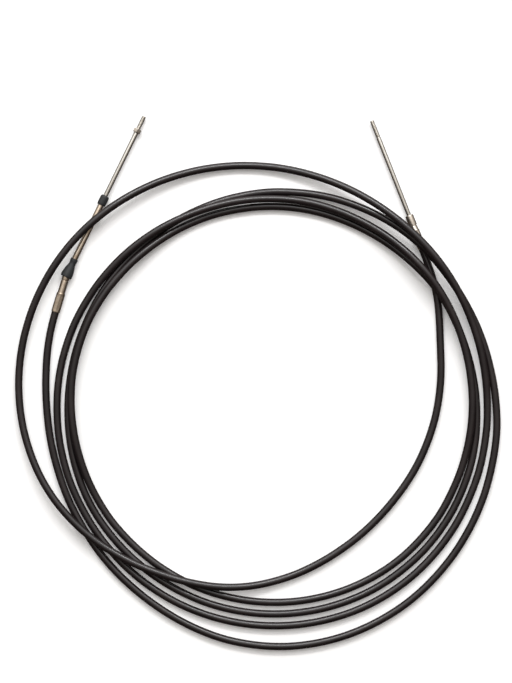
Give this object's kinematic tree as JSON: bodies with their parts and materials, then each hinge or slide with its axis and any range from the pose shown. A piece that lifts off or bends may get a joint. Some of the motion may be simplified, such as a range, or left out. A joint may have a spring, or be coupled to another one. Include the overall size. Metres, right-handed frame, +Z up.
{
  "type": "boat control cable",
  "caption": "Push-pull boat control cable in a black jacket, lying in loose turns, with a threaded steel rod at each end.",
  "frame": {"origin": "middle of the lying cable's box, on the floor", "axes": "+Z up from the floor, +Y from the coil towards its two rods, +X towards the plain end"},
  "size_m": [0.5341, 0.5883, 0.0279],
  "materials": {
    "jacket": "satin extruded polyethylene",
    "steel": "polished stainless",
    "rubber": "moulded matt"
  },
  "bodies": {
    "cable": {"cable_jacket": "jacket", "left_hub": "steel", "right_hub": "steel"},
    "left_swivel": {"left_swivel_tube": "steel", "left_boot": "rubber", "left_rod_seal": "rubber"},
    "left_rod": {"left_rod": "steel", "left_lock_nut": "steel"},
    "right_rod": {"right_rod": "steel", "right_core_wire": "steel"}
  },
  "joints": [
    {"name": "left_swivel_turn", "type": "hinge", "parent": "cable", "child": "left_swivel", "pos_m": [-0.2108, 0.1178, 0.0066], "axis": [0, 0, 1], "range_deg": [0, 18]},
    {"name": "left_rod_slide", "type": "slide", "parent": "left_swivel", "child": "left_rod", "axis": [0.4383, 0.8987, -0.0109], "range_m": [-0.076, 0]},
    {"name": "right_rod_slide", "type": "slide", "parent": "cable", "child": "right_rod", "axis": [-0.3665, 0.9304, 0], "range_m": [0, 0.076]}
  ],
  "couplings": [
    {"joint": "right_rod_slide", "follows": "left_rod_slide", "ratio": -1}
  ]
}
